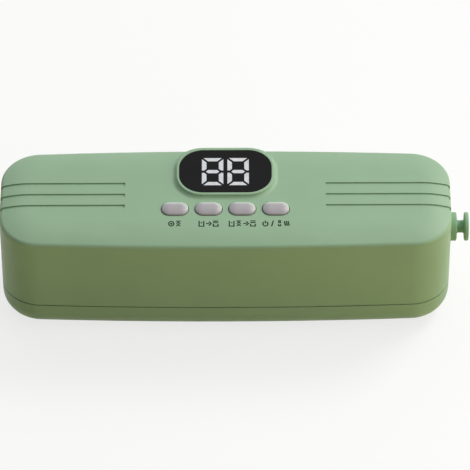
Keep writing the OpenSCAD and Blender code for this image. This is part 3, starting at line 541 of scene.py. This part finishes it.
def press_strip():
    low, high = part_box("press_strip")
    size = high - low
    shoulder = high.z - STRIP_RISE
    rings = [(size.x - STRIP_EDGE, size.y - STRIP_EDGE, STRIP_CORNER, low.z),
             (size.x, size.y, STRIP_CORNER, low.z + STRIP_EDGE / 2),
             (size.x, size.y, STRIP_CORNER, shoulder)]
    for i in range(1, STRIP_STEPS + 1):
        a = math.pi / 2 * i / STRIP_STEPS
        inset = 2 * STRIP_EDGE * (1 - math.cos(a))
        rings.append((size.x - inset, size.y - inset, STRIP_CORNER, shoulder + STRIP_RISE * math.sin(a)))
    builder = bmesh.new()
    middle = (low + high) / 2
    loft(builder, rings, middle.x, middle.y)
    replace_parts(make_piece("press_strip_soft", builder, "red_silicone", "jaw"), "press_strip")


press_strip()


# Foot pad: a rubber pad with a rounded border and grip ribs across its sunk underside
PAD_R = 7.25 * MM
PAD_EDGE = 0.3 * MM
PAD_BORDER = 2.4 * MM
PAD_SUNK = 0.35 * MM
RIB_PITCH = 4 * MM
RIB_W = 1.6 * MM
RIB_R = RIB_W / 2.1


def foot_pad():
    low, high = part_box("foot_pad")
    size = high - low
    middle = (low + high) / 2
    border = 2 * PAD_BORDER
    inner = border + 2 * PAD_EDGE
    z_sunk = low.z + PAD_SUNK
    z_soft = low.z + PAD_EDGE / 3
    builder = bmesh.new()
    loft(builder, [(size.x - inner, size.y - inner, PAD_R - inner / 2, z_sunk),
                   (size.x - border, size.y - border, PAD_R - PAD_BORDER, z_soft),
                   (size.x - border + PAD_EDGE, size.y - border + PAD_EDGE, PAD_R - PAD_BORDER, low.z),
                   (size.x - 2 * PAD_EDGE, size.y - 2 * PAD_EDGE, PAD_R - PAD_EDGE, low.z),
                   (size.x, size.y, PAD_R, low.z + PAD_EDGE),
                   (size.x, size.y, PAD_R, high.z)], middle.x, middle.y)
    span = size.y - inner - 2 * PAD_EDGE
    count = int((size.x - inner - 2 * PAD_R) / RIB_PITCH)
    for i in range(count + 1):
        x = middle.x + (i - count / 2) * RIB_PITCH
        loft(builder, [(RIB_W, span, RIB_R, z_soft), (RIB_W + PAD_EDGE, span, RIB_R, z_sunk),
                       (RIB_W + PAD_EDGE, span, RIB_R, z_sunk + PAD_SUNK)], x, middle.y)
    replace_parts(make_piece("foot_pad_grip", builder, "pad_rubber", "jaw"), "foot_pad")


foot_pad()


# Key caps: a stem, the lip that holds the cap in, a straight side, a rounded edge and a crowned face
KEY_COUNT = 4
KEY_W = 10 * MM
KEY_D = 6.5 * MM
KEY_R = 3.05 * MM
KEY_STEM_W = 3 * MM
KEY_STEM_R = 1.44 * MM
KEY_LIP_T = 1 * MM
KEY_OVER_LIP = 3.3 * MM
KEY_ROUND = 0.35 * MM
KEY_RISE = 0.75 * MM
KEY_LIFT = 0.2 * MM
CROWN_STEPS = 14


def key_cap(number):
    node = "key_cap_%d" % number
    low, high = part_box(node)
    lip = (high.x - low.x - KEY_W) / 2
    edge = high.z + KEY_LIFT - KEY_RISE
    z_lip = high.z - KEY_OVER_LIP
    z_lip_low = z_lip - KEY_LIP_T
    rings = [(KEY_STEM_W, KEY_STEM_W, KEY_STEM_R, low.z), (KEY_STEM_W, KEY_STEM_W, KEY_STEM_R, z_lip_low),
             (KEY_W + 2 * lip, KEY_D + 2 * lip, KEY_R + lip, z_lip_low),
             (KEY_W + 2 * lip, KEY_D + 2 * lip, KEY_R + lip, z_lip),
             (KEY_W, KEY_D, KEY_R, z_lip), (KEY_W, KEY_D, KEY_R, edge - KEY_ROUND)]
    reach = KEY_R - KEY_ROUND / 2
    for i in range(1, CROWN_STEPS + 1):
        share = i / CROWN_STEPS
        inset = reach * share ** 2
        rounding = max(0, 1 - inset / KEY_ROUND)
        drop = KEY_ROUND * (1 - math.sqrt(1 - rounding ** 2))
        rise = KEY_RISE * (1 - (1 - inset / reach) ** 2)
        rings.append((KEY_W - 2 * inset, KEY_D - 2 * inset, KEY_R - inset, edge - drop + rise))
    builder = bmesh.new()
    middle = (low + high) / 2
    loft(builder, rings, middle.x, middle.y)
    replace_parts(make_piece(node + "_crowned", builder, "key_plastic", "key_%d" % number), node)


for number in range(1, KEY_COUNT + 1):
    key_cap(number)


# Signs under the keys: rows of plain pictograms, drawn as thin ink strokes on the top face
SIGN_Y = -14.75 * MM
SIGN_HALF_W = 1.16 * MM
SIGN_HALF_H = 1.45 * MM
SIGN_STROKE = 0.48 * MM
SIGN_PITCH = 2.65 * MM
INK_DEEP = 0.05 * MM
INK_PROUD = 0.02 * MM
OVER_TOP = 1 * MM
ARC_STEPS = 16
# Smallest share by which a mitre is drawn out at a sharp bend
MITRE_LEAST = 0.35
RIPPLE_STEPS = 8
RIPPLE_LOW = -0.85
RIPPLE_RISE = 0.21
RIPPLE_SWAY = 0.13


def arc(x, y, r, start_deg, end_deg):
    points = []
    for i in range(ARC_STEPS + 1):
        a = math.radians(start_deg + (end_deg - start_deg) * i / ARC_STEPS)
        points.append((x + r * math.cos(a), y + r * math.sin(a)))
    return points


def ripple(x):
    """One wave of a line that rises."""
    points = []
    for i in range(RIPPLE_STEPS + 1):
        a = 2 * math.pi * i / RIPPLE_STEPS
        points.append((x + RIPPLE_SWAY * math.sin(a), RIPPLE_LOW + i * RIPPLE_RISE))
    return points


# Each pictogram is a list of strokes in a box from -1 to 1
PICTOGRAMS = {
    "tap": [arc(0, 0, 0.82, 20, 380), arc(0, 0, 0.18, 0, 360)],
    "air": [[(-0.8, 0.9), (0.8, 0.9)], [(-0.62, -0.05), (0, 0.5), (0.62, -0.05)],
            [(-0.62, -0.85), (0, -0.3), (0.62, -0.85)]],
    "bag": [[(-0.75, 0.95), (-0.75, -0.9), (0.75, -0.9), (0.75, 0.95)], [(-0.3, 0.3), (0.3, 0.3)]],
    "next": [[(-0.85, 0), (0.25, 0)], [(0.1, 0.7), (0.85, 0), (0.1, -0.7)]],
    "shut": [[(-0.85, 0.9), (0.85, 0.9)], [(-0.85, 0.35), (0.85, 0.35)],
             [(-0.75, -0.1), (-0.75, -0.9), (0.75, -0.9), (0.75, -0.1)]],
    "power": [arc(0, -0.1, 0.8, 130, 410), [(0, 0.05), (0, 1)]],
    "slash": [[(-0.3, -1), (0.3, 1)]],
    "heat": [arc(0, -0.55, 0.36, 130, 410), [(-0.25, 0.05), (-0.25, 0.95), (0.25, 0.95), (0.25, 0.05)]],
    "warm": [ripple(-0.6), ripple(0), ripple(0.6)],
}
SIGN_ROWS = [("tap", "air"), ("bag", "next", "shut"), ("bag", "air", "next", "shut"),
             ("power", "slash", "heat", "warm")]


def stroke(builder, points, half, level):
    """Thin bar of even width along a line of points, with mitred bends, laid on a face."""
    left, right = [], []
    for i, point in enumerate(points):
        here = Vector(point)
        before = (here - Vector(points[i - 1])).normalized() if i else None
        after = (Vector(points[i + 1]) - here).normalized() if i + 1 < len(points) else None
        first = before or after
        second = after or before
        normal = Vector((-first.y - second.y, first.x + second.x)).normalized()
        reach = half / max(MITRE_LEAST, normal.dot(Vector((-first.y, first.x))))
        left.append(here + normal * reach)
        right.append(here - normal * reach)
    levels = []
    for rise in (-INK_DEEP, INK_PROUD):
        levels.append(([builder.verts.new((p.x, p.y, level(p) + rise)) for p in left],
                       [builder.verts.new((p.x, p.y, level(p) + rise)) for p in right]))
    (low_left, low_right), (top_left, top_right) = levels
    for i in range(len(points) - 1):
        j = i + 1
        builder.faces.new((top_left[i], top_right[i], top_right[j], top_left[j]))
        builder.faces.new((low_left[i], low_left[j], low_right[j], low_right[i]))
        builder.faces.new((low_left[i], top_left[i], top_left[j], low_left[j]))
        builder.faces.new((low_right[i], low_right[j], top_right[j], top_right[i]))
    builder.faces.new((low_left[0], low_right[0], top_right[0], top_left[0]))
    builder.faces.new((low_left[-1], top_left[-1], top_right[-1], low_right[-1]))


def top_level(mesh):
    """Function that gives the level of a mesh's upper surface over a point."""
    tree = BVHTree.FromPolygons([v.co for v in mesh.vertices], [p.vertices for p in mesh.polygons])
    over = cad_high[2] + OVER_TOP

    def level(point):
        return tree.ray_cast(Vector((point.x, point.y, over)), Vector((0, 0, -1)))[0].z
    return level


def key_signs():
    level = top_level(housing.data)
    for number, row in enumerate(SIGN_ROWS, 1):
        low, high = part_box("key_cap_%d" % number)
        builder = bmesh.new()
        for place, name in enumerate(row):
            x = (low.x + high.x) / 2 + (place - (len(row) - 1) / 2) * SIGN_PITCH
            for points in PICTOGRAMS[name]:
                line = [(x + px * SIGN_HALF_W, SIGN_Y + py * SIGN_HALF_H) for px, py in points]
                stroke(builder, line, SIGN_STROKE / 2, level)
        make_piece("key_sign_%d" % number, builder, "dark_plastic", "housing", "sign_ink")


key_signs()


# Studio: a pale floor that shows white, soft light from above and the right, and a warm floor bounce
FLOOR_SHOWN = (0.96, 0.96, 0.955, 1)
FLOOR_WHITE = 0.75
FLOOR_BOUNCE = (0.755, 0.65, 0.245, 1)
DOME_COLOUR = (0.97, 0.98, 0.96, 1)
DOME_TOWARDS = (0.30, 0.50, 0.80)
DOME_FROM = 0.2
DOME_DIM = 0.03
DOME_BRIGHT = 1.05
WARM = (1.0, 0.90, 0.62)
FLOOR_HALF = 12
FLOOR_GAP = 0.2 * MM


def seen_directly(tree):
    """1 for what the camera, a gloss or a clear piece shows, 0 for the light that falls on the part."""
    path = tree.nodes.new("ShaderNodeLightPath")
    total = path.outputs["Is Camera Ray"]
    for name in ("Is Glossy Ray", "Is Transmission Ray"):
        node = tree.nodes.new("ShaderNodeMath")
        node.operation = "MAXIMUM"
        tree.links.new(total, node.inputs[0])
        tree.links.new(path.outputs[name], node.inputs[1])
        total = node.outputs["Value"]
    return total


def make_floor():
    builder = bmesh.new()
    bmesh.ops.create_grid(builder, x_segments=2, y_segments=2, size=FLOOR_HALF)
    mesh = bpy.data.meshes.new("floor")
    builder.to_mesh(mesh)
    builder.free()
    floor = bpy.data.objects.new("floor", mesh)
    bpy.context.scene.collection.objects.link(floor)
    floor.location.z = -FLOOR_GAP
    material, tree, shader = new_material("floor")
    seen = seen_directly(tree)
    tone = two_tone(tree, seen, FLOOR_BOUNCE, FLOOR_SHOWN)
    tree.links.new(tone, shader.inputs["Base Color"])
    shader.inputs["Roughness"].default_value = 0.9
    shader.inputs["Specular IOR Level"].default_value = 0
    white = tree.nodes.new("ShaderNodeEmission")
    share = tree.nodes.new("ShaderNodeMath")
    share.operation = "MULTIPLY"
    share.inputs[1].default_value = FLOOR_WHITE
    tree.links.new(seen, share.inputs[0])
    mix = tree.nodes.new("ShaderNodeMixShader")
    tree.links.new(share.outputs["Value"], mix.inputs["Fac"])
    tree.links.new(shader.outputs["BSDF"], mix.inputs[1])
    tree.links.new(white.outputs["Emission"], mix.inputs[2])
    tree.links.new(mix.outputs["Shader"], tree.nodes["Material Output"].inputs["Surface"])
    mesh.materials.append(material)


def make_world():
    world = bpy.data.worlds.new("studio")
    bpy.context.scene.world = world
    world.use_nodes = True
    tree = world.node_tree
    tree.nodes.clear()
    output = tree.nodes.new("ShaderNodeOutputWorld")
    mix = tree.nodes.new("ShaderNodeMixShader")
    tree.links.new(seen_directly(tree), mix.inputs["Fac"])
    place = tree.nodes.new("ShaderNodeTexCoord")
    facing = tree.nodes.new("ShaderNodeVectorMath")
    facing.operation = "DOT_PRODUCT"
    facing.inputs[1].default_value = Vector(DOME_TOWARDS).normalized()
    tree.links.new(place.outputs["Generated"], facing.inputs[0])
    level = tree.nodes.new("ShaderNodeMapRange")
    level.inputs["From Min"].default_value = DOME_FROM
    level.inputs["To Min"].default_value = DOME_DIM
    level.inputs["To Max"].default_value = DOME_BRIGHT
    tree.links.new(facing.outputs["Value"], level.inputs["Value"])
    dome = tree.nodes.new("ShaderNodeBackground")
    dome.inputs["Color"].default_value = DOME_COLOUR
    tree.links.new(level.outputs["Result"], dome.inputs["Strength"])
    white = tree.nodes.new("ShaderNodeBackground")
    white.inputs["Color"].default_value = (1, 1, 1, 1)
    tree.links.new(dome.outputs["Background"], mix.inputs[1])
    tree.links.new(white.outputs["Background"], mix.inputs[2])
    tree.links.new(mix.outputs["Shader"], output.inputs["Surface"])


def make_light(name, place, size, power, colour):
    """Square lamp in a place, turned to the middle of the body."""
    data = bpy.data.lights.new(name, "AREA")
    data.size = size
    data.energy = power
    data.color = colour
    light = bpy.data.objects.new(name, data)
    bpy.context.scene.collection.objects.link(light)
    light.location = place
    light.rotation_mode = "QUATERNION"
    light.rotation_quaternion = (BODY_MIDDLE - Vector(place)).to_track_quat("-Z", "Y")
    light.visible_camera = False


make_floor()
make_world()
make_light("top_light", (0.75, 0.60, 0.95), 0.5, 8, (1.0, 0.99, 0.97))
make_light("right_light", (1.2, -0.45, 0.5), 0.5, 2.6, WARM)
make_light("near_light", (0.32, -0.24, 0.16), 0.1, 0.17, WARM)

bpy.context.scene.view_settings.view_transform = "Standard"
